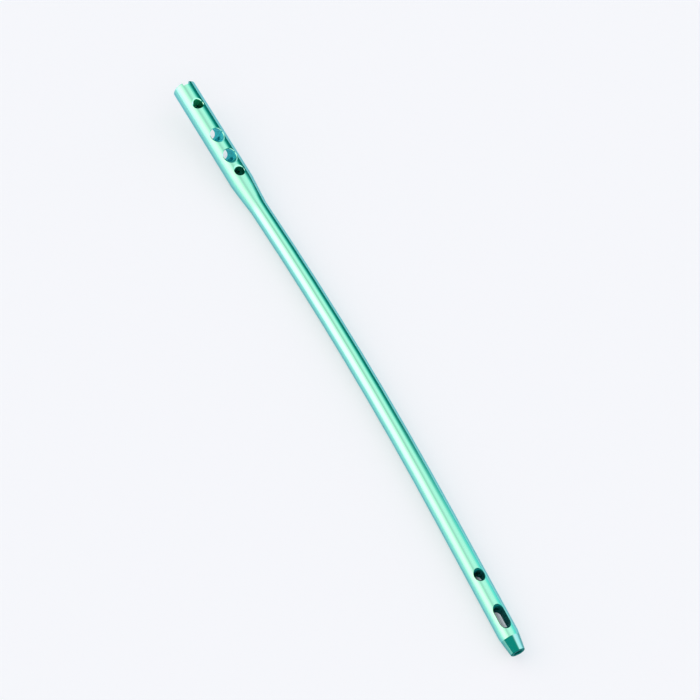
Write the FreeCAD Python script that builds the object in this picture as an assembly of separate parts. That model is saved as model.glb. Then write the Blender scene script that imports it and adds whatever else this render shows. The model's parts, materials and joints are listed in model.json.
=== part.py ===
"""Cannulated femoral intramedullary nail, turned and bent from one titanium bar.

The nail lies as it comes to rest: the bow plane flat on the table, the head bent up off it.
X runs along the straight distal end and points to the distal tip, Y points to the convex
side of the bow, Z points up, which is the lateral side of the nail. Millimetres.
"""
import os
import math

import FreeCAD
import Part
from FreeCAD import Placement, Rotation, Vector

# Lengths along the nail's centreline
NAIL_LENGTH = 360.0
HEAD_LENGTH = 66.0
HEAD_BEND_LENGTH = 26.0
TAPER_LENGTH = 18.0
DISTAL_STRAIGHT = 74.0

# Outside form
HEAD_DIAMETER = 13.0
SHAFT_DIAMETER = 10.0
TIP_DIAMETER = 7.2
TIP_CONE_LENGTH = 9.5
RIM_CHAMFER = 0.35
TIP_CHAMFER = 0.35

# Bends
BOW_RADIUS = 2250.0
HEAD_BEND_ANGLE = 8.0
HEAD_BEND_LEAN = 3.3

# Bores along the nail
CANNULA_DIAMETER = 4.0
CANNULA_MOUTH_CHAMFER = 0.4
HEAD_BORE_DIAMETER = 5.5
HEAD_BORE_END = HEAD_LENGTH - 8.0
THREAD_BORE_DIAMETER = 8.0
THREAD_DEPTH = 12.5
THREAD_MOUTH_CHAMFER = 0.6
BORE_STEP_HALF_ANGLE = 45.0

# Slots in the end of the head, which key the insertion handle
KEY_WIDTH = 4.0
KEY_DEPTH = 1.8
KEY_TURN = 8.5

# Cross holes: all are turned about the nail's axis by the same angle.
# The square ones are countersunk, the slanting ones have chamfered mouths.
HOLE_TURN = 5.0
SINK_HALF_ANGLE = 45.0
MOUTH_CHAMFER = 0.4

ANTEGRADE_STATION = 18.8
ANTEGRADE_TILT = 30.0
ANTEGRADE_DIAMETER = 5.4

RECON_STATION = 32.4
RECON_SPACING = 14.3
RECON_COUNT = 2
RECON_TILT = 38.0
RECON_DIAMETER = 6.9

TRANSVERSE_STATION = HEAD_LENGTH - 4.3
TRANSVERSE_DIAMETER = 5.4
TRANSVERSE_SINK = 0.8

DISTAL_HOLE_STATION = 39.9
DISTAL_HOLE_DIAMETER = 5.2
SLOT_STATION = 17.5
SLOT_LENGTH = 11.0
SLOT_WIDTH = 5.2
DISTAL_SINK = 0.85

# Reach of the cutting tools past the surface
OVERCUT = 3.0

# Rings that the taper is lofted through
TAPER_SECTIONS = 5

BOW_LENGTH = NAIL_LENGTH - HEAD_LENGTH - HEAD_BEND_LENGTH - DISTAL_STRAIGHT
BOW_ANGLE = math.degrees(BOW_LENGTH / BOW_RADIUS)
HEAD_BEND_RADIUS = HEAD_BEND_LENGTH / math.radians(HEAD_BEND_ANGLE)

HEAD_RADIUS = HEAD_DIAMETER / 2
SHAFT_RADIUS = SHAFT_DIAMETER / 2
CANNULA_RADIUS = CANNULA_DIAMETER / 2

AHEAD = Vector(1, 0, 0)
INWARD = Vector(0, 1, 0)
UP = Vector(0, 0, 1)
ORIGIN = Vector(0, 0, 0)


# Centreline, walked from the distal tip: x ahead to the head, y to the concave side, z up

def moved(place, offset):
    """The place after a move along its own axes."""
    return place.multiply(Placement(offset, Rotation()))


def turned(place, axis, degrees):
    """The place after a turn about one of its own axes."""
    return place.multiply(Placement(ORIGIN, Rotation(axis, degrees)))


def bowed(place, length):
    """The place after a length of the bow, which curves to the concave side."""
    centre = moved(place, INWARD * BOW_RADIUS)
    return moved(turned(centre, UP, math.degrees(length / BOW_RADIUS)), INWARD * -BOW_RADIUS)


def leaning(place):
    """The place turned so that its z lies in the plane of the head bend."""
    return turned(place, AHEAD, -HEAD_BEND_LEAN)


def raised(place, length):
    """The place after a length of the head bend, which curves upwards."""
    centre = moved(leaning(place), UP * HEAD_BEND_RADIUS)
    angle = math.degrees(length / HEAD_BEND_RADIUS)
    end = moved(turned(centre, INWARD, -angle), UP * -HEAD_BEND_RADIUS)
    return turned(end, AHEAD, HEAD_BEND_LEAN)


TIP_PLACE = Placement(Vector(0, 0, SHAFT_RADIUS), Rotation(UP, 180))
BOW_START = moved(TIP_PLACE, AHEAD * DISTAL_STRAIGHT)
BEND_START = bowed(BOW_START, BOW_LENGTH)
HEAD_START = raised(BEND_START, HEAD_BEND_LENGTH)
HEAD_END = moved(HEAD_START, AHEAD * HEAD_LENGTH)


def from_head(distance):
    """Place on the axis of the head at a distance from its end."""
    return moved(HEAD_END, AHEAD * -distance)


def from_tip(distance):
    """Place on the axis of the distal straight at a distance from the tip."""
    return moved(TIP_PLACE, AHEAD * distance)


# Building blocks

def placed(shape, place):
    copy = shape.copy()
    copy.Placement = place.multiply(copy.Placement)
    return copy


def disc(radius):
    """A round face across the centreline."""
    return Part.Face(Part.Wire(Part.makeCircle(radius, ORIGIN, AHEAD)))


def ring_wire(radius, place):
    return placed(Part.Wire(Part.makeCircle(radius, ORIGIN, AHEAD)), place)


def turned_body(points):
    """Solid of revolution about the x axis through points given as (x, radius)."""
    corners = [Vector(x, radius, 0) for x, radius in points]
    outline = Part.makePolygon(corners + corners[:1])
    return Part.Face(outline).revolve(ORIGIN, AHEAD, 360)


def bow_rod(radius):
    rod = disc(radius).revolve(INWARD * BOW_RADIUS, UP, BOW_ANGLE)
    return placed(rod, BOW_START)


def bend_rod(radius, start, length):
    """A round rod that follows the head bend over part of its length."""
    angle = math.degrees(length / HEAD_BEND_RADIUS)
    rod = disc(radius).revolve(UP * HEAD_BEND_RADIUS, INWARD * -1, angle)
    return placed(rod, leaning(raised(BEND_START, start)))


# Outside of the nail

def distal_end():
    """Straight distal end with its cone and the chamfer round its end face."""
    nose = turned_body([
        (0, 0),
        (0, TIP_DIAMETER / 2 - TIP_CHAMFER),
        (TIP_CHAMFER, TIP_DIAMETER / 2),
        (TIP_CONE_LENGTH, SHAFT_RADIUS),
        (DISTAL_STRAIGHT, SHAFT_RADIUS),
        (DISTAL_STRAIGHT, 0),
    ])
    return placed(nose, TIP_PLACE)


def head():
    """Straight cylindrical head, with its rim chamfered at the proximal end."""
    barrel = turned_body([
        (0, 0),
        (0, HEAD_RADIUS),
        (HEAD_LENGTH - RIM_CHAMFER, HEAD_RADIUS),
        (HEAD_LENGTH, HEAD_RADIUS - RIM_CHAMFER),
        (HEAD_LENGTH, 0),
    ])
    return placed(barrel, HEAD_START)


def taper():
    """Cone between shaft and head, lofted along the head bend."""
    start = HEAD_BEND_LENGTH - TAPER_LENGTH
    rings = []
    for index in range(TAPER_SECTIONS):
        share = index / (TAPER_SECTIONS - 1)
        radius = SHAFT_RADIUS + share * (HEAD_RADIUS - SHAFT_RADIUS)
        rings.append(ring_wire(radius, raised(BEND_START, start + share * TAPER_LENGTH)))
    return Part.makeLoft(rings, True)


def outside():
    bent_shaft = bend_rod(SHAFT_RADIUS, 0, HEAD_BEND_LENGTH - TAPER_LENGTH)
    return distal_end().fuse([bow_rod(SHAFT_RADIUS), bent_shaft, taper(), head_blank()])


# Bores along the nail

def head_bores():
    """Threaded socket, head bore and the steps between them, seen from the proximal end."""
    thread = THREAD_BORE_DIAMETER / 2
    bore = HEAD_BORE_DIAMETER / 2
    slope = math.tan(math.radians(BORE_STEP_HALF_ANGLE))
    first_step = THREAD_DEPTH + (thread - bore) / slope
    second_step = HEAD_BORE_END + (bore - CANNULA_RADIUS) / slope
    tool = turned_body([
        (-OVERCUT, 0),
        (-OVERCUT, thread + THREAD_MOUTH_CHAMFER + OVERCUT),
        (THREAD_MOUTH_CHAMFER, thread),
        (THREAD_DEPTH, thread),
        (first_step, bore),
        (HEAD_BORE_END, bore),
        (second_step, CANNULA_RADIUS),
        (HEAD_LENGTH, CANNULA_RADIUS),
        (HEAD_LENGTH, 0),
    ])
    return placed(tool, turned(HEAD_END, UP, 180))


def distal_bore():
    """Straight stretch of the cannula with the chamfer at its mouth."""
    tool = turned_body([
        (-OVERCUT, 0),
        (-OVERCUT, CANNULA_RADIUS + CANNULA_MOUTH_CHAMFER + OVERCUT),
        (CANNULA_MOUTH_CHAMFER, CANNULA_RADIUS),
        (DISTAL_STRAIGHT, CANNULA_RADIUS),
        (DISTAL_STRAIGHT, 0),
    ])
    return placed(tool, TIP_PLACE)


def long_bores():
    bent_cannula = bend_rod(CANNULA_RADIUS, 0, HEAD_BEND_LENGTH)
    return distal_bore().fuse([bow_rod(CANNULA_RADIUS), bent_cannula, head_bores()])


# Cross holes

def hole_place(station, tilt=0.0):
    """Place of a cross hole, with z along the hole and its upper end tilted to the head."""
    return turned(turned(station, AHEAD, HOLE_TURN), INWARD, tilt)


def both_ends(tool):
    """A tool that cuts the upper wall, with the same tool for the lower wall."""
    return tool.fuse(tool.rotated(ORIGIN, AHEAD, 180))


def drill(radius, start, end):
    """Cylinder along z, with its seam on the side of the hole that the long bores don't meet."""
    rod = Part.makeCylinder(radius, end - start, UP * start)
    return rod.rotated(ORIGIN, UP, 90)


def drill_hole(place, diameter, tilt):
    """Plain round hole through the head at a slant."""
    reach = (HEAD_RADIUS + OVERCUT) / math.cos(math.radians(tilt)) + diameter
    return placed(drill(diameter / 2, -reach, reach), place)


def round_hole(place, diameter, sink, surface_radius):
    """Round hole square to the nail, countersunk where it breaks the surface on both sides."""
    slope = math.tan(math.radians(SINK_HALF_ANGLE))
    radius = diameter / 2
    start = surface_radius - sink / slope
    reach = surface_radius + OVERCUT
    cone = Part.makeCone(radius, radius + (reach - start) * slope, reach - start, UP * start)
    return placed(both_ends(cone).fuse(drill(radius, -start, start)), place)


def slot_wire(spread, height):
    """Outline of the slot with round ends, lying along x at a height, wider by a spread."""
    radius = SLOT_WIDTH / 2 + spread
    half = (SLOT_LENGTH - SLOT_WIDTH) / 2
    corners = [Vector(x * half, y * radius, height) for x, y in ((-1, -1), (1, -1), (1, 1), (-1, 1))]
    far = Part.Arc(corners[1], Vector(half + radius, 0, height), corners[2]).toShape()
    near = Part.Arc(corners[3], Vector(-half - radius, 0, height), corners[0]).toShape()
    sides = [Part.makeLine(corners[0], corners[1]), Part.makeLine(corners[2], corners[3])]
    return Part.Wire([sides[0], far, sides[1], near])


def slot_hole(place):
    """Slot through the shaft, countersunk where it breaks the surface on both sides."""
    slope = math.tan(math.radians(SINK_HALF_ANGLE))
    start = SHAFT_RADIUS - DISTAL_SINK / slope
    reach = SHAFT_RADIUS + OVERCUT
    body = Part.Face(slot_wire(0, 0)).extrude(UP * reach)
    rims = [slot_wire(0, start), slot_wire((reach - start) * slope, reach)]
    return placed(both_ends(body.fuse(Part.makeLoft(rims, True))), place)


def slanting_holes():
    """Antegrade hole and the row of reconstruction holes."""
    antegrade = hole_place(from_head(ANTEGRADE_STATION), tilt=ANTEGRADE_TILT)
    tools = [drill_hole(antegrade, ANTEGRADE_DIAMETER, ANTEGRADE_TILT)]
    for index in range(RECON_COUNT):
        station = from_head(RECON_STATION + index * RECON_SPACING)
        place = hole_place(station, tilt=-RECON_TILT)
        tools.append(drill_hole(place, RECON_DIAMETER, RECON_TILT))
    return tools


def head_blank():
    """Head with the slanting holes drilled and their mouths chamfered, before it is bored."""
    blank = head()
    for tool in slanting_holes():
        blank = blank.cut(tool)
    mouths = [edge for edge in blank.Edges if is_mouth(edge)]
    return blank.makeChamfer(MOUTH_CHAMFER, mouths)


def is_mouth(edge):
    """Whether an edge is the mouth of a drilled hole and not a ring or the seam of the head."""
    return not isinstance(edge.Curve, (Part.Circle, Part.Line))


def transverse_hole():
    place = hole_place(from_head(TRANSVERSE_STATION))
    return round_hole(place, TRANSVERSE_DIAMETER, TRANSVERSE_SINK, HEAD_RADIUS)


def distal_holes():
    """Round hole, and the slot between it and the tip."""
    round_place = hole_place(from_tip(DISTAL_HOLE_STATION))
    return [
        round_hole(round_place, DISTAL_HOLE_DIAMETER, DISTAL_SINK, SHAFT_RADIUS),
        slot_hole(hole_place(from_tip(SLOT_STATION))),
    ]


def key_slots():
    """Two slots in the end of the head, opposite each other, near the plane of the holes."""
    length = HEAD_DIAMETER + OVERCUT
    height = KEY_DEPTH + OVERCUT
    corner = Vector(-KEY_DEPTH, -KEY_WIDTH / 2, -length / 2)
    slot = Part.makeBox(height, KEY_WIDTH, length, corner)
    return placed(slot, turned(HEAD_END, AHEAD, KEY_TURN))


def nail():
    solid = outside().removeSplitter()
    solid = solid.cut(long_bores())
    for tool in [key_slots(), transverse_hole()] + distal_holes():
        solid = solid.cut(tool)
    return solid.removeSplitter()


def rest_shift(shape):
    """Move that puts the middle of the nail's footprint at the origin, on the table."""
    box = shape.optimalBoundingBox(False)
    return Vector(-box.Center.x, -box.Center.y, -box.ZMin)


def main():
    shape = nail()
    shape.translate(rest_shift(shape))
    os.makedirs("parts", exist_ok=True)
    shape.exportStep("parts/nail.step")
    print("nail: valid %s, solids %d, faces %d, volume %.1f mm3, box %s" % (
        shape.isValid(), len(shape.Solids), len(shape.Faces), shape.Volume,
        shape.optimalBoundingBox(False)))


main()
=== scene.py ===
"""Looks of a cannulated femoral nail: anodised titanium, its socket's thread and a pale studio.

The scene is in metres, in the part's frame: X to the distal tip, Y to the convex side of the
bow and Z up. Named sizes of the nail, its centreline and its thread are in millimetres.
"""
import json
import math

import bmesh
import bpy
import numpy as np
from mathutils import Matrix, Vector


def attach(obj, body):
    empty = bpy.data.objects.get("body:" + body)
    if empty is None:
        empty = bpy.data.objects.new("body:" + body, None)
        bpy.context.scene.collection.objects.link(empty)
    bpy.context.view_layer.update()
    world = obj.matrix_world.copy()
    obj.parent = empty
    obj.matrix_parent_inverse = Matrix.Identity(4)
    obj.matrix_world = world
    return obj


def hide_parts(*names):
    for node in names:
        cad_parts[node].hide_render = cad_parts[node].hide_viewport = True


MM = 0.001

# Centreline of the nail, walked from the tip to the head
TIP_POINT = (179.834, 9.1426, 5.0)
NAIL_LENGTH = 360.0
HEAD_LENGTH = 66.0
HEAD_BEND_LENGTH = 26.0
TAPER_LENGTH = 18.0
DISTAL_STRAIGHT = 74.0
BOW_RADIUS = 2250.0
HEAD_BEND_ANGLE = 8.0
HEAD_BEND_LEAN = 3.3
CENTRELINE_STEP = 0.5
SPOTS_AT_ONCE = 2000

# Outside of the nail
HEAD_RADIUS = 6.5
SHAFT_RADIUS = 5.0
TIP_RADIUS = 3.6
TIP_CONE_LENGTH = 9.5
TIP_CHAMFER = 0.35
RIM_CHAMFER = 0.35
KEY_DEPTH = 1.8

# Where the outside's slope changes as it is shaded, with extra rings of corners there
TIP_CONE_SHADED = 7.7
SLOPE_STEP = 0.05
TAPER_SOFTNESS = 6.0
SHADING_RINGS = (TIP_CONE_SHADED, 266, 270, 273, 276, 279, 282, 288, 291, 294, 297, 300, 304)

# How a copied mesh is merged, in metres, and shaded, in degrees and millimetres
MERGE_DISTANCE = 2e-7
SHARP_ANGLE = 24.0
SURFACE_TOLERANCE = 0.15
FACING_LIMIT = 0.9
NEARLY_ZERO = 1e-9

# Corners that show the painted shade of the walls: how deep they lie, and the share of it on the
# tip cone, where it is a painted darker reflection
WALL_DEPTH = 1.0
CONE_PAINTED_SHADE_SHARE = 0.4

# Thread in the socket: the bore of the solid is its outer size
THREAD_ROOT_RADIUS = 4.03
THREAD_CREST_RADIUS = 3.35
THREAD_PITCH = 1.25
THREAD_START = 2.2
THREAD_END = 12.0
THREAD_ROOT_WIDTH = 1.05
THREAD_CREST_WIDTH = 0.3
THREAD_STEPS = 48

# Anodised titanium, linear colours: the anodised layer's colour goes by the angle of view, from
# mint where it is seen square on to teal at the flanks; the shift of hue is the layer's own, and
# the darkening towards the flanks is painted shade
FILM_SHIFT_AND_FLANK_SHADE = (
    (0.0, (0.42, 0.98, 0.74)), (0.20, (0.40, 0.97, 0.74)), (0.32, (0.27, 0.86, 0.71)),
    (0.42, (0.265, 0.74, 0.68)), (0.54, (0.22, 0.60, 0.61)), (0.68, (0.17, 0.50, 0.55)),
)
EDGE_TINT = (0.60, 0.97, 1.0)
METAL_ROUGHNESS = 0.10

# Painted shade and painted reflection inside the holes: the colour goes by the place along X in
# metres, from one end to the other
HALF_LENGTH = 0.18
WALL_PAINTED_SHADE_COLOURS = (
    (-0.169, (0.05, 0.42, 0.40)), (-0.166, (0.01, 0.32, 0.14)),
    (-0.155, (0.01, 0.32, 0.14)), (-0.152, (0.07, 0.70, 0.76)),
    (-0.127, (0.07, 0.70, 0.76)), (-0.124, (0.005, 0.22, 0.13)),
    (0.0, (0.005, 0.16, 0.13)), (0.17, (0.002, 0.14, 0.13)),
)
WALL_ROUGHNESS = 0.24
WALL_DULLNESS = 0.45

# Marks of the walls that are dull and rough: the tip cone's share lies below them
DULL_MARKS = (0.5, 1.0)

# Floor, in metres: seen straight it is near white, while metal shows it as it is lit
FLOOR_SIZE = 40.0
FLOOR_COLOUR = (0.92, 0.93, 0.96)
FLOOR_SEEN = (0.930, 0.934, 0.977)
FLOOR_FLATNESS = 0.56
UNDER_NAIL_REACH = 0.015
UNDER_NAIL_OPEN = (0.1, 0.5)
UNDER_NAIL_SAMPLES = 8

# Studio light by angle about X, from the convex side over the top, for light that comes from
# behind the head and from nearer its middle, and plain levels by the tip, overhead and beyond it
LIGHT_PEAK = 2.3
LIGHT_BEHIND = (
    (0, (0.01, 0.24, 0.22)), (15, (0.0, 0.19, 0.16)), (33, (0.0, 0.26, 0.24)),
    (48, (0.36, 0.74, 0.71)), (64, (0.95, 1.02, 1.0)), (80, (0.96, 0.96, 0.93)),
    (97, (0.66, 0.64, 0.62)), (105, (0.95, 0.95, 0.88)), (128, (2.1, 1.6, 1.4)),
    (145, (2.2, 1.65, 1.5)), (160, (2.1, 1.4, 1.5)), (180, (1.75, 1.12, 1.38)),
)
LIGHT_NEAR = (
    (0, (0.3, 0.8, 0.8)), (16, (0.35, 0.86, 0.88)), (32, (0.5, 0.9, 0.92)),
    (48, (0.93, 0.97, 0.97)), (64, (1.0, 1.0, 1.0)), (80, (0.95, 0.95, 0.95)),
    (97, (0.74, 0.74, 0.72)), (107, (0.88, 0.88, 0.86)), (128, (1.67, 1.4, 1.2)),
    (145, (1.79, 1.45, 1.24)), (160, (1.47, 1.3, 1.2)), (180, (0.95, 0.95, 0.95)),
)
LIGHT_BESIDE_TIP = (1.75, 1.4, 1.75)
SHADE_OVERHEAD = (0.01, 0.37, 0.38)
LIGHT_BEYOND_TIP = (1.2, 1.2, 1.2)

# Where each light gives way to the next, by the X part of the direction
BEHIND_TO_NEAR = (-0.42, -0.28)
BESIDE_TIP_FROM = (-0.22, -0.06)
OVERHEAD_FROM = (-0.13, -0.07)
BEYOND_TIP_FROM = (0.15, 0.35)

# Where the light beside the tip gives way to the shade overhead, as a share of half a turn
BESIDE_TO_OVERHEAD = (0.28, 0.42)

# Camera: place in metres, turn in degrees, lens and sensor in millimetres
CAMERA_PLACE = (0.3545, -0.1586, 0.70565)
CAMERA_TURN = (29.0, 0.0, 64.73)
CAMERA_LENS = 81.2
CAMERA_SENSOR = 36.0
CAMERA_NEAREST = 0.01


# Shader maths

class Value:
    """A shader socket that takes part in Python expressions."""

    def __init__(self, tree, socket):
        self.tree = tree
        self.socket = socket

    def math(self, operation, *others):
        return self.tree.node("ShaderNodeMath", {"operation": operation}, (self, *others))

    def __add__(self, other):
        return self.math("ADD", other)

    def __rsub__(self, other):
        return self.math("MULTIPLY", -1.0) + other

    def __mul__(self, other):
        return self.math("MULTIPLY", other)

    def between(self, low, high):
        """0 below low, 1 above high and smooth between them."""
        return self.tree.node(
            "ShaderNodeMapRange",
            {"interpolation_type": "SMOOTHSTEP"},
            {"Value": self, "From Min": low, "From Max": high},
        )


class Shader:
    """A node tree of a material or a world, filled by calls."""

    def __init__(self, owner):
        owner.use_nodes = True
        self.tree = owner.node_tree
        self.tree.nodes.clear()

    def node(self, kind, settings=None, values=None, output=0):
        made = self.tree.nodes.new(kind)
        for name, setting in (settings or {}).items():
            if name == "stops":
                set_stops(made.color_ramp, setting)
            else:
                setattr(made, name, setting)
        pairs = values.items() if isinstance(values, dict) else enumerate(values or ())
        for name, value in pairs:
            if isinstance(value, Value):
                self.tree.links.new(value.socket, made.inputs[name])
            else:
                made.inputs[name].default_value = value
        return Value(self, made.outputs[output]) if made.outputs else made

    def mix(self, share, first, second):
        """Mixes two colours: the node's sockets 6 and 7 take them and its output 2 gives one."""
        colours = {"Factor": share, 6: opaque(first), 7: opaque(second)}
        return self.node("ShaderNodeMix", {"data_type": "RGBA"}, colours, output=2)


def opaque(colour):
    return colour if isinstance(colour, Value) else (*colour, 1.0)


def set_stops(ramp, stops):
    """Fills a ramp with stops given as (place, colour)."""
    while len(ramp.elements) > 1:
        ramp.elements.remove(ramp.elements[-1])
    for index, (place, colour) in enumerate(stops):
        element = ramp.elements[0] if index == 0 else ramp.elements.new(place)
        element.position = place
        element.color = opaque(colour)


# Materials

def share_of_length(x):
    """0 at the head end and 1 at the tip, for a number or for a shader value."""
    return (x + HALF_LENGTH) * (0.5 / HALF_LENGTH)


def anodised_titanium():
    """Mint metal whose anodised layer turns teal and darker towards the flanks, the darkening
    painted shade; duller in the holes, which carry painted shade and painted reflection colours, as
    the tip cone does in part.
    """
    material = bpy.data.materials.new("anodised_titanium")
    shader = Shader(material)
    # Mark of the holes' walls and the tip cone, where painted shade goes and the walls turn dull
    wall = shader.node("ShaderNodeAttribute", {"attribute_name": "wall"}, output="Fac")
    deep = wall.between(*DULL_MARKS)
    facing = shader.node("ShaderNodeLayerWeight", output="Facing")
    # Base colour by angle of view: the anodised layer's own hue shift, with painted shade darkening
    # the flanks
    film_and_flank_shade = shader.node("ShaderNodeValToRGB", {"stops": FILM_SHIFT_AND_FLANK_SHADE}, {"Fac": facing})
    place = shader.node("ShaderNodeTexCoord", output="Object")
    along = shader.node("ShaderNodeSeparateXYZ", {}, (place,))
    # Painted shade and painted reflection colours in the holes, by place along the nail
    stops = [(share_of_length(x), colour) for x, colour in WALL_PAINTED_SHADE_COLOURS]
    wall_painted_shade = shader.node("ShaderNodeValToRGB", {"stops": stops}, {"Fac": share_of_length(along)})
    surface = shader.node("ShaderNodeBsdfPrincipled", {}, {
        "Base Color": shader.mix(wall, film_and_flank_shade, wall_painted_shade),
        "Metallic": deep * -WALL_DULLNESS + 1.0,
        "Roughness": deep * (WALL_ROUGHNESS - METAL_ROUGHNESS) + METAL_ROUGHNESS,
        "Specular IOR Level": 0.0,
        "Specular Tint": opaque(EDGE_TINT),
    })
    shader.node("ShaderNodeOutputMaterial", {}, {"Surface": surface})
    return material


def pale_floor():
    """Matt white floor that keeps part of the shadow where it is seen straight."""
    material = bpy.data.materials.new("pale_floor")
    shader = Shader(material)
    matt = shader.node("ShaderNodeBsdfDiffuse", {}, {"Color": opaque(FLOOR_COLOUR)})
    white = shader.node("ShaderNodeEmission", {}, {"Color": opaque(FLOOR_SEEN), "Strength": 1.0})
    straight = shader.node("ShaderNodeLightPath", output="Is Camera Ray")
    open_air = shader.node(
        "ShaderNodeAmbientOcclusion", {"samples": UNDER_NAIL_SAMPLES},
        {"Distance": UNDER_NAIL_REACH}, output="AO")
    share = straight * open_air.between(*UNDER_NAIL_OPEN) * FLOOR_FLATNESS
    surface = shader.node("ShaderNodeMixShader", {}, (share, matt, white))
    shader.node("ShaderNodeOutputMaterial", {}, {"Surface": surface})
    return material


# Centreline

class Centreline:
    """Points along the nail's centreline with their direction and distance from the tip."""

    def __init__(self):
        self.points = []
        self.ahead = []
        self.walked = np.arange(0, NAIL_LENGTH + CENTRELINE_STEP / 2, CENTRELINE_STEP)
        point = np.array(TIP_POINT)
        ahead = np.array((-1.0, 0.0, 0.0))
        inward = np.array((0.0, -1.0, 0.0))
        up = np.array((0.0, 0.0, 1.0))
        for distance in self.walked:
            self.points.append(point)
            self.ahead.append(ahead)
            towards, radius = self.bend_at(distance + CENTRELINE_STEP / 2, inward, up)
            angle = CENTRELINE_STEP / radius
            middle = ahead + towards * angle / 2
            point = point + middle * CENTRELINE_STEP / np.linalg.norm(middle)
            turn = Matrix.Rotation(angle, 3, Vector(np.cross(ahead, towards)))
            ahead, inward, up = (np.array(turn @ Vector(axis)) for axis in (ahead, inward, up))
        self.points = np.array(self.points)
        self.ahead = np.array(self.ahead)

    def bend_at(self, distance, inward, up):
        """The direction that the centreline curves to at a distance, and its radius."""
        bow_end = NAIL_LENGTH - HEAD_LENGTH - HEAD_BEND_LENGTH
        bend_end = NAIL_LENGTH - HEAD_LENGTH
        if DISTAL_STRAIGHT < distance < bow_end:
            return inward, BOW_RADIUS
        if bow_end < distance < bend_end:
            lean = math.radians(HEAD_BEND_LEAN)
            towards = up * math.cos(lean) + inward * math.sin(lean)
            return towards, HEAD_BEND_LENGTH / math.radians(HEAD_BEND_ANGLE)
        return inward, math.inf

    def meet(self, spots):
        """For each spot: its distance from the tip, its offset from the line, and the way ahead."""
        nearest = np.empty(len(spots), int)
        for start in range(0, len(spots), SPOTS_AT_ONCE):
            part = slice(start, start + SPOTS_AT_ONCE)
            gaps = np.linalg.norm(spots[part, None] - self.points[None], axis=2)
            nearest[part] = gaps.argmin(axis=1)
        ahead = self.ahead[nearest]
        gap = spots - self.points[nearest]
        along = (gap * ahead).sum(axis=1)
        return self.walked[nearest] + along, gap - ahead * along[:, None], ahead


def outside_radius(distance):
    """Radius of the nail's outside at distances from the tip."""
    taper_start = NAIL_LENGTH - HEAD_LENGTH - TAPER_LENGTH
    taper_end = NAIL_LENGTH - HEAD_LENGTH
    stations = [0, TIP_CHAMFER, TIP_CONE_LENGTH, taper_start, taper_end, NAIL_LENGTH]
    radii = [TIP_RADIUS - TIP_CHAMFER, TIP_RADIUS] + [SHAFT_RADIUS] * 2 + [HEAD_RADIUS] * 2
    return np.interp(distance, stations, radii)


def slope(distance, reach):
    """How much the radius grows for each millimetre, over a reach to both sides."""
    return (outside_radius(distance + reach) - outside_radius(distance - reach)) / (2 * reach)


def outside_growth(distance, middle):
    """The outside's slope as the nail is shaded.

    It goes by the middle of the face near the tip, and by the corner itself elsewhere.
    """
    near_tip = np.where(middle > TIP_CONE_SHADED, 0.0, slope(middle, SLOPE_STEP))
    return np.where(distance < DISTAL_STRAIGHT, near_tip, slope(distance, TAPER_SOFTNESS))


# The nail

def unit(vectors):
    return vectors / np.linalg.norm(vectors, axis=1, keepdims=True)


def merged_copy(node, name, line):
    """A copy of a CAD node's mesh, its loose triangles joined and its edges marked sharp by angle.

    It gets rings of corners where the shading changes along the nail.
    """
    mesh = bpy.data.meshes.new(name)
    work = bmesh.new()
    work.from_mesh(node.data)
    bmesh.ops.remove_doubles(work, verts=work.verts, dist=MERGE_DISTANCE)
    for station in SHADING_RINGS:
        index = int(round(station / CENTRELINE_STEP))
        bmesh.ops.bisect_plane(
            work,
            geom=work.verts[:] + work.edges[:] + work.faces[:],
            dist=MERGE_DISTANCE,
            plane_co=line.points[index] * MM,
            plane_no=line.ahead[index],
        )
    for face in work.faces:
        face.smooth = True
    for edge in work.edges:
        edge.smooth = edge.calc_face_angle(0.0) < math.radians(SHARP_ANGLE)
    work.to_mesh(mesh)
    work.free()
    piece = bpy.data.objects.new(name, mesh)
    bpy.context.scene.collection.objects.link(piece)
    return piece


def corner_data(mesh):
    """Place, face centre, face normal and smooth normal of every face corner, in millimetres."""
    count = len(mesh.loops)
    vertex = np.empty(count, int)
    mesh.loops.foreach_get("vertex_index", vertex)
    places = np.empty(len(mesh.vertices) * 3)
    mesh.vertices.foreach_get("co", places)
    smooth = np.empty(count * 3)
    mesh.corner_normals.foreach_get("vector", smooth)
    sides = np.empty(len(mesh.polygons), int)
    mesh.polygons.foreach_get("loop_total", sides)
    faces = []
    for field in ("center", "normal"):
        values = np.empty(len(mesh.polygons) * 3)
        mesh.polygons.foreach_get(field, values)
        faces.append(np.repeat(values.reshape(-1, 3), sides, axis=0))
    places = places.reshape(-1, 3)[vertex]
    return places / MM, faces[0] / MM, faces[1], smooth.reshape(-1, 3)


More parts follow.
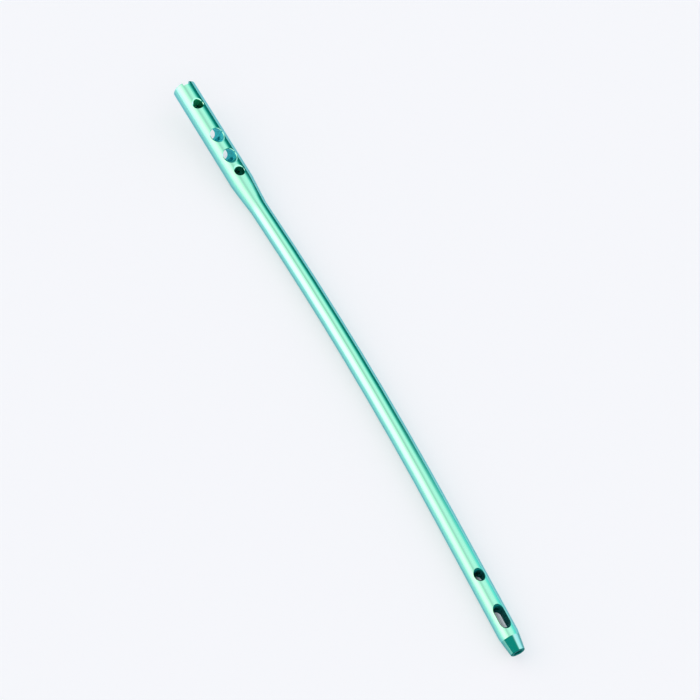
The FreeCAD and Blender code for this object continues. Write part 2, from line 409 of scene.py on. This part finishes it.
def true_normals(mesh, line, bores):
    """Sets exact normals on the nail's outside and in its round holes, and marks the walls and the
    tip cone for painted shade.
    """
    spots, middles, flat, normals = corner_data(mesh)
    distance, offset, ahead = line.meet(spots)
    radius = np.linalg.norm(offset, axis=1)
    outward = unit(offset + NEARLY_ZERO)
    middle_distance, middle_offset, _ = line.meet(middles)
    growth = outside_growth(distance, middle_distance)
    skin = unit(outward - ahead * growth[:, None])
    level = np.abs(radius - outside_radius(distance)) < SURFACE_TOLERANCE
    outward_face = (flat * skin).sum(axis=1) > FACING_LIMIT
    outside = level & outward_face
    normals = np.where(outside[:, None], skin, normals)
    depth = outside_radius(middle_distance) - np.linalg.norm(middle_offset, axis=1)
    wall = depth > WALL_DEPTH
    for bore in bores:
        middle, axis = np.array(bore["pos_m"]) / MM, np.array(bore["axis"])
        gap = spots - middle
        gap = gap - np.outer(gap @ axis, axis)
        reach = np.linalg.norm(gap, axis=1)
        inward = -gap / np.maximum(reach, NEARLY_ZERO)[:, None]
        on_wall = np.abs(reach - bore["dims"]["r_mm"]) < SURFACE_TOLERANCE
        on_wall &= (flat * inward).sum(axis=1) > FACING_LIMIT
        normals = np.where(on_wall[:, None] & ~outside[:, None], inward, normals)
        wall |= on_wall & ~outside
    # The tip's slot walls and its end face take the walls' painted shade too
    wall |= (middle_distance < DISTAL_STRAIGHT) & ~outward_face | (middle_distance < TIP_CHAMFER)
    wall &= middle_distance < NAIL_LENGTH - KEY_DEPTH - RIM_CHAMFER
    # The tip cone takes part of the walls' painted shade, a painted darker reflection
    wall = np.where(wall, 1.0, CONE_PAINTED_SHADE_SHARE * (middle_distance < TIP_CONE_SHADED))
    mesh.normals_split_custom_set(normals.tolist())
    marks = mesh.attributes.new("wall", "FLOAT", "CORNER")
    marks.data.foreach_set("value", wall.astype(np.float32))


def dressed_nail(frame, metal):
    line = Centreline()
    piece = merged_copy(frame["nodes"]["nail"], "green_nail", line)
    mounts = frame["record"]["mounts"]
    bores = [mount for mount in mounts if mount.get("dims", {}).get("r_mm")]
    true_normals(piece.data, line, bores)
    piece.data.materials.append(metal)
    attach(piece, "root")
    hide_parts("nail")
    return piece


# Thread in the socket

class Growth:
    """A Geometry Nodes tree with named inputs, filled by calls."""

    def __init__(self, name, sizes):
        self.tree = bpy.data.node_groups.new(name, "GeometryNodeTree")
        face = self.tree.interface
        face.new_socket("Geometry", in_out="OUTPUT", socket_type="NodeSocketGeometry")
        self.sockets = {}
        for label, value in sizes.items():
            whole = isinstance(value, int)
            kind = "NodeSocketInt" if whole else "NodeSocketFloat"
            self.sockets[label] = face.new_socket(label, in_out="INPUT", socket_type=kind)
        self.sizes = sizes
        self.group_input = self.tree.nodes.new("NodeGroupInput")

    def size(self, label):
        return self.group_input.outputs[label]

    def node(self, kind, settings=None, values=None, output=0):
        made = self.tree.nodes.new(kind)
        for name, setting in (settings or {}).items():
            setattr(made, name, setting)
        for name, value in (values or {}).items():
            if isinstance(value, bpy.types.NodeSocket):
                self.tree.links.new(value, made.inputs[name])
            else:
                made.inputs[name].default_value = value
        return made.outputs[output] if made.outputs else made

    def grown(self, name):
        """The finished mesh, made plain."""
        holder = bpy.data.objects.new(name, bpy.data.meshes.new(name))
        bpy.context.scene.collection.objects.link(holder)
        modifier = holder.modifiers.new(name, "NODES")
        modifier.node_group = self.tree
        for label, socket in self.sockets.items():
            modifier[socket.identifier] = self.sizes[label]
        graph = bpy.context.evaluated_depsgraph_get()
        mesh = bpy.data.meshes.new_from_object(holder.evaluated_get(graph))
        holder.modifiers.remove(modifier)
        holder.data = mesh
        mesh.name = name
        return holder


def thread_tree(metal):
    """A ridge with a blunt crest, wound along a helix down the socket."""
    turns = (THREAD_END - THREAD_START) / THREAD_PITCH
    growth = Growth("thread_ridge", {
        "Root Radius": THREAD_ROOT_RADIUS * MM,
        "Crest Radius": THREAD_CREST_RADIUS * MM,
        "Root Width": THREAD_ROOT_WIDTH * MM,
        "Crest Width": THREAD_CREST_WIDTH * MM,
        "Turns": turns,
        "Length": (THREAD_END - THREAD_START) * MM,
        "Steps per Turn": THREAD_STEPS,
    })
    height = growth.node("ShaderNodeMath", {"operation": "SUBTRACT"}, {
        0: growth.size("Root Radius"), 1: growth.size("Crest Radius")})
    radius_sum = growth.node("ShaderNodeMath", {"operation": "ADD"}, {
        0: growth.size("Root Radius"), 1: growth.size("Crest Radius")})
    middle = growth.node("ShaderNodeMath", {"operation": "MULTIPLY"}, {0: radius_sum, 1: 0.5})
    spiral = growth.node("GeometryNodeCurveSpiral", {}, {
        "Resolution": growth.size("Steps per Turn"),
        "Rotations": growth.size("Turns"),
        "Start Radius": middle,
        "End Radius": middle,
        "Height": growth.size("Length"),
    })
    spiral = growth.node("GeometryNodeSetCurveNormal", {}, {"Curve": spiral})
    profile = growth.node("GeometryNodeCurvePrimitiveQuadrilateral", {"mode": "TRAPEZOID"}, {
        "Bottom Width": growth.size("Root Width"),
        "Top Width": growth.size("Crest Width"),
        "Height": height,
        "Offset": 0.0,
    })
    ridge = growth.node("GeometryNodeCurveToMesh", {}, {
        "Curve": spiral, "Profile Curve": profile, "Fill Caps": True})
    plain = growth.node("GeometryNodeRealizeInstances", {}, {"Geometry": ridge})
    coated = growth.node("GeometryNodeSetMaterial", {}, {"Geometry": plain, "Material": metal})
    growth.node("NodeGroupOutput", {}, {"Geometry": coated})
    return growth


def socket_thread(frame, metal):
    piece = thread_tree(metal).grown("socket_thread")
    socket = [m for m in frame["record"]["mounts"] if m["name"] == "handle_socket"][0]
    face = [m for m in frame["record"]["mounts"] if m["name"] == "head_end_face"][0]
    inward = -Vector(socket["axis"]).normalized()
    on_axis = Vector(socket["pos_m"])
    end = on_axis + inward * (Vector(face["pos_m"]) - on_axis).dot(inward)
    turn = inward.to_track_quat("Z", "Y").to_matrix().to_4x4()
    piece.data.transform(Matrix.Translation(end + inward * THREAD_START * MM) @ turn)
    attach(piece, "root")
    return piece


# Studio

def floor():
    half = FLOOR_SIZE / 2
    corners = [(-half, -half, 0), (half, -half, 0), (half, half, 0), (-half, half, 0)]
    mesh = bpy.data.meshes.new("floor")
    mesh.from_pydata(corners, [], [(0, 1, 2, 3)])
    mesh.materials.append(pale_floor())
    piece = bpy.data.objects.new("floor", mesh)
    bpy.context.scene.collection.objects.link(piece)


def of_peak(colour):
    """A light's colour as a share of the brightest level, because a ramp ends at 1."""
    return [level / LIGHT_PEAK for level in colour]


def light_by_angle(shader, angle, stops):
    """Light levels round the nail's long direction, given as (degrees, colour)."""
    places = [(degrees / 180, of_peak(colour)) for degrees, colour in stops]
    return shader.node("ShaderNodeValToRGB", {"stops": places}, {"Fac": angle})


def studio_light():
    """World light as soft fields that differ around the nail and along it."""
    world = bpy.data.worlds.new("studio")
    bpy.context.scene.world = world
    shader = Shader(world)
    direction = shader.node("ShaderNodeTexCoord", output="Generated")
    split = shader.node("ShaderNodeSeparateXYZ", {}, (direction,)).socket.node
    along, side, up = (Value(shader, socket) for socket in split.outputs)
    angle = up.math("ARCTAN2", side) * (1 / math.pi)
    behind = light_by_angle(shader, angle, LIGHT_BEHIND)
    near = light_by_angle(shader, angle, LIGHT_NEAR)
    overhead = angle.between(*BESIDE_TO_OVERHEAD)
    beside = along.between(*BESIDE_TIP_FROM) * (1 - overhead)
    shaded = along.between(*OVERHEAD_FROM) * overhead
    light = shader.mix(along.between(*BEHIND_TO_NEAR), behind, near)
    light = shader.mix(beside, light, of_peak(LIGHT_BESIDE_TIP))
    light = shader.mix(shaded, light, of_peak(SHADE_OVERHEAD))
    light = shader.mix(along.between(*BEYOND_TIP_FROM), light, of_peak(LIGHT_BEYOND_TIP))
    light = shader.node("ShaderNodeBackground", {}, {"Color": light, "Strength": LIGHT_PEAK})
    pale = shader.node("ShaderNodeBackground", {}, {"Color": opaque(FLOOR_SEEN), "Strength": 1.0})
    straight = shader.node("ShaderNodeLightPath", output="Is Camera Ray")
    seen = shader.node("ShaderNodeMixShader", {}, (straight, light, pale))
    shader.node("ShaderNodeOutputWorld", {}, {"Surface": seen})


def camera():
    lens = bpy.data.cameras.new("camera")
    lens.lens = CAMERA_LENS
    lens.sensor_width = CAMERA_SENSOR
    lens.clip_start = CAMERA_NEAREST
    holder = bpy.data.objects.new("camera", lens)
    holder.location = CAMERA_PLACE
    holder.rotation_euler = [math.radians(turn) for turn in CAMERA_TURN]
    bpy.context.scene.collection.objects.link(holder)
    bpy.context.scene.camera = holder


def plain(box):
    return [list(corner) for corner in box]


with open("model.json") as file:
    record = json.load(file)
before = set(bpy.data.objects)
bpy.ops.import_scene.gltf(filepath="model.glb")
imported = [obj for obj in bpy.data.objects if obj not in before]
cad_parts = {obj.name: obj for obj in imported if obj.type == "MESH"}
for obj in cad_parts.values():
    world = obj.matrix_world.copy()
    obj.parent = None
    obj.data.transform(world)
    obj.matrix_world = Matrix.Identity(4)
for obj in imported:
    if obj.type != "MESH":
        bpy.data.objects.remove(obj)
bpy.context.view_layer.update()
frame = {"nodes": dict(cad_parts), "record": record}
bpy.context.scene.view_settings.view_transform = "Standard"
metal = anodised_titanium()
dressed_nail(frame, metal)
socket_thread(frame, metal)
floor()
studio_light()
camera()
